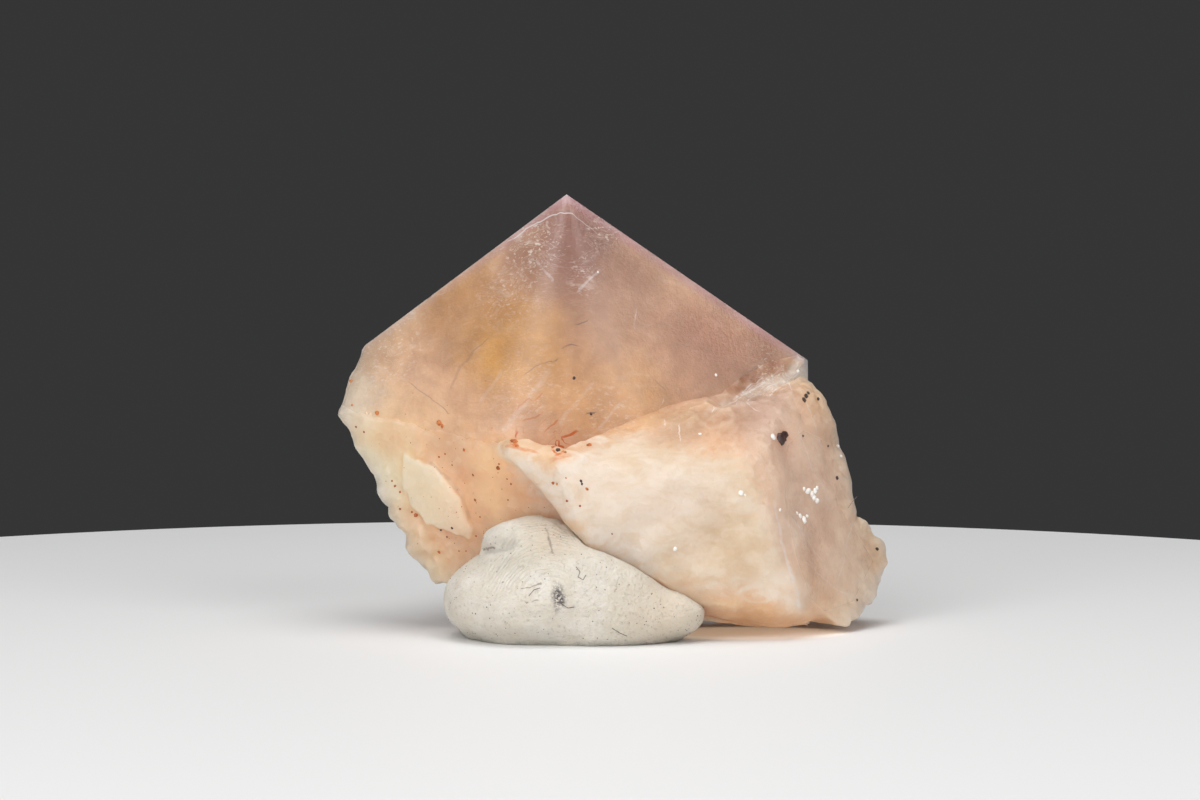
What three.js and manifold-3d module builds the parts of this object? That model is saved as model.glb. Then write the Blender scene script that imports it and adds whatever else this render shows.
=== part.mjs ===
// A fluorite specimen: one octahedral crystal point, broken off below, standing on a pressed lump of putty.
// Millimetres, +Z up. The clean front faces look towards -Y, and +X is to the right as they are seen.

import * as THREE from "three";
import { ConvexGeometry } from "three/addons/geometries/ConvexGeometry.js";
import { ImprovedNoise } from "three/addons/math/ImprovedNoise.js";
import { mergeVertices } from "three/addons/utils/BufferGeometryUtils.js";
import Module from "manifold-3d";

const wasm = await Module();
wasm.setup();

const at = (x, y, z) => new THREE.Vector3(x, y, z);

// Driving dimensions
const blockSize = 120; // side of the rough block that the crystal is cleaved from
const tipEdge = 0.6; // the short edge that the tip ends in, instead of a point
const fractureGrain = 2.1; // longest triangle side on a broken face
const fractureWaves = [
  { length: 8.5, height: 0.8 },
  { length: 3.3, height: 0.4 },
];
const chipRadius = 2.4; // shell-shaped chip under the front right face
const chipStandOff = 1.5; // its middle lies this far outside that face
const puttyGap = 0.35; // clearance between the putty and the crystal pressed into it
const planeTolerance = 0.002; // a vertex this near a growth face lies on it

// Corners of the clean point: apex, the two shoulders, the foot of the front edge and the end of the roof ridge
const apex = at(-4.7, 1, 43.8);
const leftShoulder = at(-25.3, 7, 28.7);
const rightShoulder = at(19.6, 8, 27.3);
const frontFoot = at(-5.1, -6.5, 18);
const ridgeEnd = at(-3, 23, 38);

// Corners of the broken lower body
const leftCorner = at(-27.9, 6.4, 22.1);
const leftFoot = at(-19.2, 5, 5.6);
const underLeft = at(-17.1, 5, 5);
const underFront = at(8.5, -4, 2);
const underBack = at(0, 16, 3);
const tongueRoot = at(-11.5, -2.9, 19.1);
const ledgeStart = at(8.2, 0.8, 21.4);
const rightHip = at(21.8, 6.5, 22.6);
const rightKnee = at(24.9, 6, 11.1);
const heart = at(0, 6, 18); // a point well inside the crystal

// Solids from geometry, and geometry from solids
function solidOf(geometry) {
  const bare = geometry.clone();
  bare.deleteAttribute("normal");
  bare.deleteAttribute("uv");
  const merged = mergeVertices(bare, 1e-4);
  const vertProperties = new Float32Array(merged.attributes.position.array);
  const triVerts = new Uint32Array(merged.index.array);
  return new wasm.Manifold(new wasm.Mesh({ numProp: 3, vertProperties, triVerts }));
}

function geometryOf(solid) {
  const mesh = solid.getMesh();
  return new THREE.BufferGeometry()
    .setAttribute("position", new THREE.BufferAttribute(new Float32Array(mesh.vertProperties), 3))
    .setIndex(new THREE.BufferAttribute(new Uint32Array(mesh.triVerts), 1));
}

const hull = (...corners) => solidOf(new ConvexGeometry(corners));

// The plane through three corners, facing away from the heart of the crystal
function faceThrough(a, b, c) {
  const plane = new THREE.Plane().setFromCoplanarPoints(a, b, c);
  return plane.distanceToPoint(heart) > 0 ? plane.negate() : plane;
}

const oppositeFace = (plane, corner) =>
  new THREE.Plane().setFromNormalAndCoplanarPoint(plane.normal.clone().negate(), corner);

// Removes everything outside a plane
function cleave(solid, plane) {
  const waste = new THREE.BoxGeometry(blockSize * 2, blockSize * 2, blockSize * 2);
  const turn = new THREE.Quaternion().setFromUnitVectors(at(0, 0, 1), plane.normal);
  const centre = plane.projectPoint(heart, at(0, 0, 0)).addScaledVector(plane.normal, blockSize);
  waste.applyMatrix4(new THREE.Matrix4().compose(centre, turn, at(1, 1, 1)));
  return solid.subtract(solidOf(waste));
}

const moved = (corner, x, y, z) => corner.clone().add(at(x, y, z));

// The growth faces: an octahedron's two front faces and two roof faces, and at the back the opposites of the front
const frontLeft = faceThrough(apex, frontFoot, leftShoulder);
const frontRight = faceThrough(apex, frontFoot, rightShoulder);
const roofTip = moved(apex, 0, tipEdge, 0);
const roofLeft = faceThrough(roofTip, leftShoulder, ridgeEnd);
const roofRight = faceThrough(roofTip, rightShoulder, ridgeEnd);
const backRight = oppositeFace(frontLeft, ridgeEnd);
const backLeft = oppositeFace(frontRight, moved(ridgeEnd, 0, tipEdge, 0));
const growthFaces = [frontLeft, frontRight, roofLeft, roofRight, backRight, backLeft];

// The broken faces of the main body
const brokenFaces = [
  faceThrough(leftShoulder, leftCorner, moved(leftCorner, 3.5, 10, 0)), // left flank
  faceThrough(leftCorner, tongueRoot, underLeft), // undercut below the front left face
  faceThrough(leftCorner, leftFoot, moved(leftCorner, 4, 10, -2)), // lower left side
  faceThrough(underLeft, underFront, underBack), // underside
  faceThrough(rightHip, rightKnee, moved(rightHip, -4, 10, 0)), // right flank
  faceThrough(at(-3, 18.6, 23), at(0, 8, 3), at(18, 8, 7)), // back, below the growth faces
];

function mainBody() {
  const rough = solidOf(new THREE.BoxGeometry(blockSize, blockSize, blockSize));
  return [...growthFaces, ...brokenFaces].reduce(cleave, rough);
}

// The block that stands proud at the lower right: the pale front fracture with its tongue, and the right facet
function lowerBlock() {
  return hull(
    at(-11.6, -4.6, 19.1), // tip of the tongue
    at(-5.1, -8.2, 18.3),
    moved(ledgeStart, 0, -1.2, 0), // along the ledge under the front right face
    at(14.4, 1.2, 24.4),
    at(18.8, 4.2, 25.9),
    at(20, 7, 25.4),
    rightHip,
    rightKnee,
    at(14.6, -6.4, 16.9), // ridge between the front fracture and the right facet
    at(18.3, -6, 2.9),
    at(-2.4, -9, 9.8), // lower edge of the front fracture
    at(8.3, -8.6, 4.1),
    at(9.4, -3.2, 2.1), // underside
    at(17.6, -2, 0.9),
    at(22.4, 3, 0.8),
    at(14, 8, 1.6),
    at(17, 12, 10), // buried in the main body
    at(0, 8, 17),
    at(4, 8, 6),
  );
}

// The knob that carries the right facet outwards, near the floor
function rightKnob() {
  return hull(
    rightKnee,
    at(25.9, 6.9, 10.6),
    at(28, 8.8, 8),
    at(28.4, 9, 6.6),
    at(26.9, 6.2, 3.8),
    at(25, 2.9, 2),
    at(22.6, -0.7, 0.7),
    at(22.2, 2.4, 10.4),
    at(24, 2.5, 5),
    at(20.4, -2.9, 2.6),
    at(23, 13, 9),
    at(25.6, 12.5, 5),
    at(20, 10, 1.6),
    at(15, 5, 7),
  );
}

// The pale flake that stands a little proud of the undercut on the left
function leftFlake() {
  const rim = [
    at(-20.9, 2.9, 18.2),
    at(-21.2, 4, 15.4),
    at(-20.3, 4.3, 12.9),
    at(-18.4, 3.6, 10.9),
    at(-14.3, 1.2, 9.6),
    at(-14.6, 0.5, 11.6),
    at(-16, 0.1, 15),
    at(-18.4, 0.9, 17.6),
  ];
  return hull(...rim, ...rim.map((corner) => moved(corner, 1.2, 3.5, 0)));
}

// The shell-shaped chip along the ledge under the front right face, out to the right shoulder
function ledgeChip() {
  const run = rightShoulder.clone().sub(ledgeStart);
  const turn = new THREE.Quaternion().setFromUnitVectors(at(1, 0, 0), run.clone().normalize());
  const centre = ledgeStart.clone().addScaledVector(run, 0.58).addScaledVector(frontRight.normal, chipStandOff);
  const radii = at(run.length() * 0.52, chipRadius, chipRadius * 0.8);
  const placed = new THREE.Matrix4().compose(centre, turn, radii);
  return solidOf(new THREE.IcosahedronGeometry(1, 2).applyMatrix4(placed));
}

function brokenCrystal() {
  return mainBody()
    .add(lowerBlock())
    .subtract(ledgeChip())
    .add(rightKnob())
    .add(leftFlake());
}

const sidesOf = ([a, b, c]) => [[a, b], [b, c], [c, a]];

// Turns the common side of two triangles in one plane wherever that makes them rounder
function turnSides(points, triangles) {
  const normalOf = ([a, b, c]) => {
    const edge = points[b].clone().sub(points[a]);
    return edge.cross(points[c].clone().sub(points[a])).normalize();
  };
  const angleAt = (tip, i, j) =>
    points[i].clone().sub(points[tip]).angleTo(points[j].clone().sub(points[tip]));
  const owner = new Map();
  triangles.forEach((triangle, t) => sidesOf(triangle).forEach(([i, j]) => owner.set(`${i}_${j}`, t)));
  const done = new Set();
  triangles.forEach((triangle, t) => {
    for (const [i, j] of sidesOf(triangle)) {
      const other = owner.get(`${j}_${i}`);
      if (done.has(t) || done.has(other)) continue;
      const k = triangle.find((corner) => corner !== i && corner !== j);
      const l = triangles[other].find((corner) => corner !== i && corner !== j);
      if (owner.has(`${k}_${l}`) || owner.has(`${l}_${k}`)) continue;
      if (normalOf(triangle).dot(normalOf(triangles[other])) < 0.9999) continue;
      if (angleAt(k, i, j) + angleAt(l, i, j) < Math.PI + 0.01) continue;
      triangles[t] = [k, i, l];
      triangles[other] = [l, j, k];
      [[k, i, t], [i, l, t], [l, k, t], [l, j, other], [j, k, other], [k, l, other]]
        .forEach(([from, to, holder]) => owner.set(`${from}_${to}`, holder));
      done.add(t).add(other);
    }
  });
  return done.size > 0;
}

// Halves every side longer than the grain that borders a broken face, keeping the mesh closed
function refineBroken(points, triangles, isGrown) {
  const key = (i, j) => (i < j ? `${i}_${j}` : `${j}_${i}`);
  let halved = true;
  while (halved) {
    for (let round = 0; round < 12; round++) {
      if (!turnSides(points, triangles)) break;
    }
    const middle = new Map();
    for (const triangle of triangles.filter((t) => !isGrown(t))) {
      for (const [i, j] of sidesOf(triangle)) {
        if (middle.has(key(i, j)) || points[i].distanceTo(points[j]) <= fractureGrain) continue;
        middle.set(key(i, j), points.push(points[i].clone().lerp(points[j], 0.5)) - 1);
      }
    }
    halved = middle.size > 0;
    triangles = triangles.flatMap((triangle) => {
      const cuts = sidesOf(triangle).map(([i, j]) => middle.get(key(i, j)));
      const first = cuts.findIndex((cut, side) => cut !== undefined && cuts[(side + 2) % 3] === undefined);
      const turned = (list) => list.map((_, side) => list[(side + Math.max(first, 0)) % 3]);
      const [a, b, c] = turned(triangle);
      const [ab, bc, ca] = turned(cuts);
      const count = cuts.filter((cut) => cut !== undefined).length;
      if (count === 3) return [[a, ab, ca], [ab, b, bc], [ca, bc, c], [ab, bc, ca]];
      if (count === 2) return [[a, ab, c], [ab, bc, c], [ab, b, bc]];
      if (count === 1) return [[a, ab, c], [ab, b, c]];
      return [[a, b, c]];
    });
  }
  return triangles;
}

function vertexNormals(points, triangles) {
  const normals = points.map(() => at(0, 0, 0));
  for (const triangle of triangles) {
    const [a, b, c] = triangle.map((i) => points[i]);
    const normal = b.clone().sub(a).cross(c.clone().sub(a));
    triangle.forEach((i) => normals[i].add(normal));
  }
  return normals.map((normal) => normal.normalize());
}

const meshOf = (points, triangles) =>
  new THREE.BufferGeometry().setFromPoints(points).setIndex(triangles.flat());

// Relief of the broken faces: growth faces stay flat, and their broken borders turn ragged within their planes
function roughen(solid) {
  const { attributes, index } = geometryOf(solid);
  const points = Array.from({ length: attributes.position.count }, (_, i) =>
    new THREE.Vector3().fromBufferAttribute(attributes.position, i));
  const liesOn = (face, point) => Math.abs(face.distanceToPoint(point)) < planeTolerance;
  const isGrown = (triangle) =>
    growthFaces.some((face) => triangle.every((i) => liesOn(face, points[i])));
  const coarse = Array.from({ length: index.count / 3 }, (_, i) => [0, 1, 2].map((k) => index.getX(3 * i + k)));
  const triangles = refineBroken(points, coarse, isGrown);

  const perlin = new ImprovedNoise();
  const relief = (p) =>
    fractureWaves.reduce(
      (sum, { length, height }) => sum + height * perlin.noise(p.x / length, p.y / length, p.z / length),
      0,
    );
  const normals = vertexNormals(points, triangles);
  const rough = points.map((point, i) => {
    const step = normals[i].multiplyScalar(relief(point));
    const pinned = growthFaces.filter((face) => liesOn(face, point));
    if (pinned.length > 1) return point;
    return point.clone().add(pinned.length ? step.projectOnPlane(pinned[0].normal) : step);
  });
  const outward = vertexNormals(rough, triangles);
  const swollen = rough.map((point, i) => point.clone().addScaledVector(outward[i], puttyGap));
  return { surface: meshOf(rough, triangles), clearance: meshOf(swollen, triangles) };
}

// The putty: lobes squeezed together, rounded towards the table and flat where they were pressed on it
const puttyCentre = at(-5, -1, 3);
const puttyLobes = [
  { centre: at(-6.9, -2, 3.6), radii: at(10.2, 11, 5.4) }, // main lump
  { centre: at(-7.8, -4.5, 8.4), radii: at(5.2, 5, 3.6) }, // fold squeezed up on the left
  { centre: at(-4.4, -4.6, 5.4), radii: at(7.6, 7.8, 5.4) }, // front that runs down from the fold
  { centre: at(-1.2, -4.6, 3.2), radii: at(7.2, 8, 5.6) }, // shoulder that follows the crystal's edge down
  { centre: at(2.4, -5.6, 2.5), radii: at(6.5, 5.8, 3) }, // thin end on the right
  { centre: at(-5, 6, 3), radii: at(10, 8.5, 4.6) }, // hidden part under the crystal
];
const lobeBlend = 0.6; // how softly the lobes run into each other

// How far a lobe reaches from the putty's centre along a direction
function lobeReach({ centre, radii }, direction) {
  const ray = direction.clone().divide(radii);
  const from = puttyCentre.clone().sub(centre).divide(radii);
  const along = from.dot(ray);
  const room = along * along - ray.lengthSq() * (from.lengthSq() - 1);
  return room < 0 ? 0 : Math.max(0, (Math.sqrt(room) - along) / ray.lengthSq());
}

function puttyLump() {
  const lump = new THREE.SphereGeometry(1, 56, 40);
  lump.rotateX(Math.PI / 2);
  const { position } = lump.attributes;
  for (let i = 0; i < position.count; i++) {
    const direction = new THREE.Vector3().fromBufferAttribute(position, i).normalize();
    const blended = puttyLobes.reduce((sum, lobe) => sum + Math.exp(lobeReach(lobe, direction) / lobeBlend), 0);
    const point = direction.multiplyScalar(Math.log(blended) * lobeBlend).add(puttyCentre);
    position.setXYZ(i, point.x, point.y, point.z);
  }
  const table = new THREE.BoxGeometry(blockSize, blockSize, blockSize);
  table.translate(0, 0, -blockSize / 2);
  return solidOf(lump).subtract(solidOf(table));
}

const { surface, clearance } = roughen(brokenCrystal());
const crystal = new THREE.Mesh(
  surface,
  new THREE.MeshStandardMaterial({ color: 0xd9ab8c, roughness: 0.25, metalness: 0 }),
);
crystal.name = "crystal";

const putty = new THREE.Mesh(
  geometryOf(puttyLump().subtract(solidOf(clearance))),
  new THREE.MeshStandardMaterial({ color: 0xe4dccd, roughness: 0.85, metalness: 0 }),
);
putty.name = "putty";

const specimen = new THREE.Group();
specimen.add(crystal, putty);

// The origin is under the middle of the whole specimen, on the surface that it stands on
const box = new THREE.Box3().setFromObject(specimen, true);
const middle = box.getCenter(at(0, 0, 0));
specimen.position.set(-middle.x, -middle.y, -box.min.z);

export default specimen;
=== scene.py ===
import math
import bmesh
import bpy
import numpy
from mathutils import Euler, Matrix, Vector, noise
from mathutils.bvhtree import BVHTree
from mathutils.geometry import delaunay_2d_cdt
from mathutils.kdtree import KDTree


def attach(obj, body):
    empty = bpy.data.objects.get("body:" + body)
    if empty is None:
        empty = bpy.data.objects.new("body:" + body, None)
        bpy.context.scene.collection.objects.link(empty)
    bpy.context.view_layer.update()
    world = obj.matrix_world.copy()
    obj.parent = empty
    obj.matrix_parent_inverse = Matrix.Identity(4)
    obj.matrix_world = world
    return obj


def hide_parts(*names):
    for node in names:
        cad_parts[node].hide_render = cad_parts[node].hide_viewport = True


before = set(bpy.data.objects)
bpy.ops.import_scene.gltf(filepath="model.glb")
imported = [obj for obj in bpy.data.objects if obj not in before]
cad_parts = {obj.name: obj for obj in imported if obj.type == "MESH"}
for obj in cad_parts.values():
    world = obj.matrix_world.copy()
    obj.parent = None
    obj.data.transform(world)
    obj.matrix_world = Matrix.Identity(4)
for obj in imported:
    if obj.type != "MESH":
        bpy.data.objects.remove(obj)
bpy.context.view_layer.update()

mm = 0.001
flatWithin = 5e-6  # a point counts as lying in a plane when it is nearer than this, m
sharpAngle = 0.2  # radians, edges between growth faces are sharper
scene = bpy.context.scene
noise.seed_set(11)  # noise vectors follow the clock otherwise


# short hands for node trees
def addNode(tree, kind, inputs=None, **settings):
    made = tree.nodes.new(kind)
    for name, value in settings.items():
        setattr(made, name, value)
    for name, value in (inputs or {}).items():
        plug(tree, made.inputs[name], value)
    return made


def plug(tree, socket, value):
    if isinstance(value, bpy.types.NodeSocket):
        tree.links.new(value, socket)
    else:
        socket.default_value = value


def doMath(tree, operation, a, b=0.0, clamp=False):
    return addNode(tree, "ShaderNodeMath", {0: a, 1: b}, operation=operation, use_clamp=clamp).outputs[0]


def doVector(tree, operation, a, b=(0.0, 0.0, 0.0)):
    return addNode(tree, "ShaderNodeVectorMath", {0: a, 1: b}, operation=operation).outputs[0]


def scaled(tree, vector, factor):
    return addNode(tree, "ShaderNodeVectorMath", {0: vector, "Scale": factor}, operation="SCALE").outputs[0]


def lengthOf(tree, vector):
    return addNode(tree, "ShaderNodeVectorMath", {0: vector}, operation="LENGTH").outputs["Value"]


def dotOf(tree, a, b):
    return addNode(tree, "ShaderNodeVectorMath", {0: a, 1: b}, operation="DOT_PRODUCT").outputs["Value"]


def fade(tree, value, low, high, toLow=0.0, toHigh=1.0):
    inputs = {"Value": value, "From Min": low, "From Max": high, "To Min": toLow, "To Max": toHigh}
    return addNode(tree, "ShaderNodeMapRange", inputs, interpolation_type="SMOOTHSTEP").outputs["Result"]


def mixColour(tree, factor, under, over, blend="MIX"):
    made = addNode(tree, "ShaderNodeMix", {0: factor, 6: under, 7: over}, data_type="RGBA", blend_type=blend)
    return made.outputs[2]


def noiseAt(tree, place, scale, detail=4.0, rough=0.5, distortion=0.0, output="Fac"):
    inputs = {"Vector": place, "Scale": scale, "Detail": detail, "Roughness": rough, "Distortion": distortion}
    return addNode(tree, "ShaderNodeTexNoise", inputs).outputs[output]


def placeInMm(tree):
    return scaled(tree, addNode(tree, "ShaderNodeTexCoord").outputs["Object"], 1000.0)


# a place pushed about by a noise, so that shapes drawn with it wander
def wandering(tree, place, scale, amount, detail=3):
    push = doVector(tree, "SUBTRACT", noiseAt(tree, place, scale, detail, output="Color"), (0.5, 0.5, 0.5))
    return doVector(tree, "ADD", place, scaled(tree, push, amount))


# 1 inside a blob round a point in mm, fading to 0 at its rim
def blob(tree, place, centre, inner, outer, stretch=(1.0, 1.0, 1.0)):
    local = doVector(tree, "DIVIDE", doVector(tree, "SUBTRACT", place, centre), stretch)
    return fade(tree, lengthOf(tree, local), inner, outer, 1.0, 0.0)


# 1 on a thin line between two points in mm
def stroke(tree, place, start, end, width):
    along = Vector(end) - Vector(start)
    local = doVector(tree, "SUBTRACT", place, tuple(start))
    share = doMath(tree, "MULTIPLY", dotOf(tree, local, tuple(along / along.length_squared)), 1.0, clamp=True)
    off = doVector(tree, "SUBTRACT", local, scaled(tree, tuple(along), share))
    return fade(tree, lengthOf(tree, off), width * 0.35, width, 1.0, 0.0)


def strokes(tree, place, paths):
    mask = None
    for path in paths:
        for start, end in zip(path["points"], path["points"][1:]):
            line = doMath(tree, "MULTIPLY", stroke(tree, place, start, end, path["width"]), path["depth"])
            mask = line if mask is None else doMath(tree, "MAXIMUM", mask, line)
    return mask


def newMaterial(name):
    material = bpy.data.materials.new(name)
    material.use_nodes = True
    tree = material.node_tree
    tree.nodes.clear()
    output = addNode(tree, "ShaderNodeOutputMaterial")
    shader = addNode(tree, "ShaderNodeBsdfPrincipled")
    tree.links.new(shader.outputs["BSDF"], output.inputs["Surface"])
    return material, tree, shader, output


# camera, at the photograph's viewing angle
view = {
    "place": (-1.7, -337.8, 38.5),  # mm
    "pitch": 87.4,  # degrees, 90 looks level
    "lens": 100.0,
    "sensor": 36.0,
    "size": (1200, 800),
}
cameraData = bpy.data.cameras.new("camera")
cameraData.lens = view["lens"]
cameraData.sensor_width = view["sensor"]
cameraData.clip_start = 0.01
camera = bpy.data.objects.new("camera", cameraData)
camera.location = Vector(view["place"]) * mm
camera.rotation_euler = Euler((math.radians(view["pitch"]), 0, 0))
scene.collection.objects.link(camera)
scene.camera = camera


# where the line of sight through a pixel of the photograph meets a surface
def onSurface(skin, pixel):
    focal = view["lens"] / view["sensor"] * view["size"][0]
    across = (pixel[0] - view["size"][0] / 2) / focal
    down = (pixel[1] - view["size"][1] / 2) / focal
    ray = camera.rotation_euler.to_matrix() @ Vector((across, -down, -1))
    hit, normal, _, _ = skin.ray_cast(camera.location, ray)
    return hit, normal


def pixelOf(co):
    focal = view["lens"] / view["sensor"] * view["size"][0]
    local = camera.rotation_euler.to_matrix().transposed() @ (co - camera.location)
    return view["size"][0] / 2 - focal * local.x / local.z, view["size"][1] / 2 + focal * local.y / local.z


def pathOn(skin, pixels, steps=10):
    points = []
    for start, end in zip(pixels, pixels[1:]):
        for i in range(steps):
            pixel = Vector(start).lerp(Vector(end), i / steps)
            points.append(onSurface(skin, pixel)[0])
    points.append(onSurface(skin, pixels[-1])[0])
    return [p for p in points if p]


def nearTo(points, reach):
    tree = KDTree(len(points))
    for i, point in enumerate(points):
        tree.insert(point, i)
    tree.balance()
    return lambda co: max(0.0, 1 - tree.find(co)[2] / (reach * mm))


def skinOf(data):
    return BVHTree.FromPolygons([v.co for v in data.vertices], [tuple(p.vertices) for p in data.polygons])


# crystal
crystalLook = {
    "cuts": 3,  # extra points on each side of a broken triangle
    "spacing": 0.45,  # of points on the growth faces, mm
    "smallestPlane": 4.0,  # mm2, a triangle of a growth face
    "smallestGrowth": 60.0,  # mm2, a whole growth face
    "softenRounds": 2,
    "relief": ((5.5, 0.30), (2.4, 0.18), (1.1, 0.10), (0.6, 0.06)),  # wave length and height, mm
    "hackle": {"cell": 1.9, "height": 0.2},
    "ragged": 0.12,  # how far broken borders wander within a growth face, mm
    "bevel": 0.08,  # worn edges along the roof faces, mm
    "frontEdge": 0.45,  # how fast the edge between the front faces rounds off below the tip
    # ridges of the breaks that are worn round, as lines through pixels of the photograph;
    # across: the growth face beside it is moved too
    "rounded": (
        {"line": ((605, 466), (650, 466), (690, 466), (750, 464)), "reach": 5.0, "rounds": 140},
        {"line": ((765, 462), (772, 500), (783, 535), (790, 555)), "reach": 3.6, "rounds": 80},
        {"line": ((768, 455), (785, 425), (803, 390)), "reach": 4.0, "rounds": 60},
        {"line": ((822, 618), (830, 590), (842, 565), (856, 545)), "reach": 2.6, "rounds": 50},
        {"line": ((714, 402), (745, 394), (775, 388), (808, 379)), "reach": 4.0, "rounds": 130},
        {"line": ((590, 449), (620, 444), (650, 436), (700, 418)), "reach": 3.0, "rounds": 50},
        {"line": ((425, 475), (436, 495), (450, 525)), "reach": 5.5, "rounds": 90},
        {"line": ((342, 411), (370, 414), (400, 420), (450, 432), (500, 446)), "reach": 3.6, "rounds": 130,
         "across": True},
    ),
    # parts broken into small steps
    "chipped": (
        {"line": ((708, 412), (735, 396), (765, 384), (798, 370)), "reach": 3.2, "height": 0.8, "cell": 1.3},
        {"line": ((398, 505), (406, 535), (425, 558), (440, 570)), "reach": 4.0, "height": 1.1, "cell": 1.5},
        {"line": ((862, 527), (877, 547), (882, 565), (872, 590), (852, 607)), "reach": 2.6, "height": 0.5,
         "cell": 1.2},
        {"line": ((811, 388), (820, 408), (830, 438), (840, 472)), "reach": 2.0, "height": 0.4, "cell": 1.1},
    ),
    # places drawn out a little, in mm
    "drawnOut": (
        {"at": (513, 451), "move": (-1.3, -0.3, 0.1), "reach": 3.5},
        {"at": (402, 505), "move": (-0.9, 0.0, 0.0), "reach": 4.0},
        {"at": (350, 413), "move": (-1.3, 0.0, 0.0), "reach": 5.0, "across": True},
    ),
    # the smoother, glassy break on the right
    "glassy": ((775, 440), (800, 415), (832, 430), (850, 500), (888, 560), (862, 612), (822, 626), (800, 606),
               (784, 560), (772, 500)),
    # a pale leaf of crystal standing proud on the left
    "flake": {
        "outline": ((405, 451), (413, 458), (430, 464), (447, 480), (460, 497), (467, 518), (475, 529), (472, 538),
                    (452, 531), (430, 524), (413, 506), (404, 484)),
        "height": 0.45,
    },
}


def mergedCopy(node):
    mesh = bmesh.new()
    mesh.from_mesh(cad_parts[node].data)
    bmesh.ops.remove_doubles(mesh, verts=mesh.verts, dist=2e-6)
    return mesh


# growth faces are the only large flat ones
def growthPlanes(mesh):
    planes = []
    for face in sorted(mesh.faces, key=lambda f: -f.calc_area()):
        if face.calc_area() < crystalLook["smallestPlane"] * mm * mm:
            break
        corner = face.verts[0].co
        known = any(abs(n.dot(corner) - d) < flatWithin and n.dot(face.normal) > 0.999 for n, d in planes)
        if not known:
            planes.append((face.normal.copy(), face.normal.dot(corner)))
    return planes


# points drawn towards their neighbours; with shares from 0 to 1, small ones stop earlier
def soften(mesh, verts, rounds, shares=None):
    full = 0.85  # points with a larger share move in every round
    mesh.verts.index_update()
    spots = numpy.array([v.co[:] for v in mesh.verts])
    own = numpy.array([v.index for v in verts])
    around = [[e.other_vert(v).index for e in v.link_edges] for v in verts]
    counts = numpy.array([len(row) for row in around])
    starts = numpy.cumsum(counts) - counts
    around = numpy.concatenate(around)
    shares = numpy.ones(len(own)) if shares is None else numpy.array(shares)
    for step in range(rounds):
        middle = numpy.add.reduceat(spots[around], starts, axis=0) / counts[:, None]
        moving = shares > full * step / rounds
        spots[own[moving]] = (spots[own[moving]] + middle[moving]) / 2
    for v, spot in zip(verts, spots[own]):
        v.co = spot


# the faces of each growth face; small scraps of a growth plane between the breaks count as broken
def growthPatches(mesh, planes):
    def isGrown(face):
        return any(
            all(abs(n.dot(v.co) - d) < flatWithin for v in face.verts) and n.dot(face.normal) > 0.9
            for n, d in planes
        )

    patches = []
    waiting = {f for f in mesh.faces if isGrown(f)}
    for first in [f for f in mesh.faces if f in waiting]:
        if first not in waiting:
            continue
        waiting.remove(first)
        patch = [first]
        for face in patch:
            for edge in face.edges:
                for other in edge.link_faces:
                    if other in waiting and other.normal.dot(face.normal) > 0.99:
                        waiting.remove(other)
                        patch.append(other)
        if sum(f.calc_area() for f in patch) > crystalLook["smallestGrowth"] * mm * mm:
            patches.append(patch)
    return patches


# a growth face again, with evenly spread points
def evenPatch(mesh, patch, grown):
    inside = set(patch)
    normal = patch[0].normal.copy()
    across = normal.orthogonal().normalized()
    along = normal.cross(across)
    origin = patch[0].verts[0].co.copy()
    rim = [e for f in patch for e in f.edges if sum(g in inside for g in e.link_faces) == 1]
    verts = list(dict.fromkeys(v for e in rim for v in e.verts))
    index = {v: i for i, v in enumerate(verts)}
    flat = [Vector(((v.co - origin).dot(across), (v.co - origin).dot(along))) for v in verts]
    edges = [(index[e.verts[0]], index[e.verts[1]]) for e in rim]
    step = crystalLook["spacing"] * mm
    low = [min(p[i] for p in flat) for i in (0, 1)]
    high = [max(p[i] for p in flat) for i in (0, 1)]
    rim3d = KDTree(len(verts))
    for v, i in index.items():
        rim3d.insert(v.co, i)
    rim3d.balance()
    row = 0
    y = low[1]
    while y < high[1]:
        x = low[0] + (row % 2) * step / 2
        while x < high[0]:
            spot = origin + across * x + along * y
            if rim3d.find(spot)[2] > step * 0.5:
                flat.append(Vector((x, y)))
            x += step
        y += step * 0.866  # rows of even triangles
        row += 1
    spots, _, faces, source, _, _ = delaunay_2d_cdt(flat, edges, [], 1, 1e-9)
    bmesh.ops.delete(mesh, geom=patch, context="FACES_ONLY")
    loose = [e for e in mesh.edges if not e.link_faces]
    bmesh.ops.delete(mesh, geom=loose, context="EDGES")
    made = []
    for spot, origins in zip(spots, source):
        if origins and origins[0] < len(verts):
            made.append(verts[origins[0]])
        else:
            made.append(mesh.verts.new(origin + across * spot.x + along * spot.y))
    for corners in faces:
        face = mesh.faces.new([made[i] for i in corners])
        face.normal_update()
        if face.normal.dot(normal) < 0:
            face.normal_flip()
        face[grown] = 1


# new points and faces come in an order that changes from run to run, so they are sorted by place
def sortMesh(mesh):
    slant = Vector((0.62, 0.33, 0.71))  # no two points lie at the same height along it
    mesh.verts.sort(key=lambda v: sum(a * b for a, b in zip(v.co, slant)))
    mesh.verts.index_update()
    count = len(mesh.verts)

    def place(face):
        low, middle, high = sorted(v.index for v in face.verts)
        return (low * count + middle) * count + high

    mesh.faces.sort(key=place)


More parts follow.
